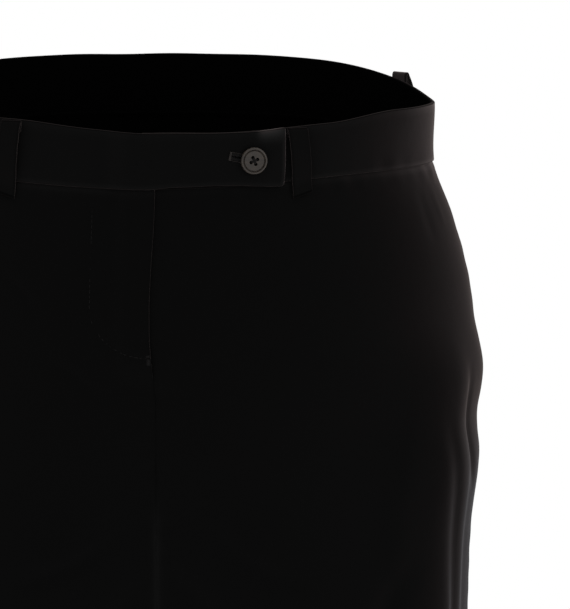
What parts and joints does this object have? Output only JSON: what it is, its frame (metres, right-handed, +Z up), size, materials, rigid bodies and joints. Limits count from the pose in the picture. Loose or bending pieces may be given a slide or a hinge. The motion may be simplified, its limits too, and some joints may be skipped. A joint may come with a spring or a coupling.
{
  "type": "velvet trousers",
  "caption": "Straight-leg velvet trousers, filled out and hollow, with a belt-looped waistband whose extension tab fastens on a four-hole button over a plain lapped fly.",
  "frame": {"origin": "middle of the waistband's ring, halfway up the band at the side seams, where a wearer's waist holds the trousers", "axes": "+Z up the garment, -Y towards the front (the buttoned side), +X towards the wearer's left"},
  "size_m": [0.381, 0.2366, 1.107],
  "materials": {
    "velvet": "black cotton velvet, near black face on, warm grey sheen at grazing angles",
    "horn": "smoke-brown horn-look resin, satin",
    "thread": "matte black polyester thread"
  },
  "bodies": {
    "root": {"front_left": "velvet", "front_right": "velvet", "back_left": "velvet", "back_right": "velvet", "band_front_right": "velvet", "band_front_left": "velvet", "band_back": "velvet", "loop_front_left": "velvet", "loop_front_right": "velvet", "loop_back_left": "velvet", "loop_back_right": "velvet", "loop_back_centre": "velvet", "button": "horn", "button_thread": "thread"}
  },
  "joints": []
}
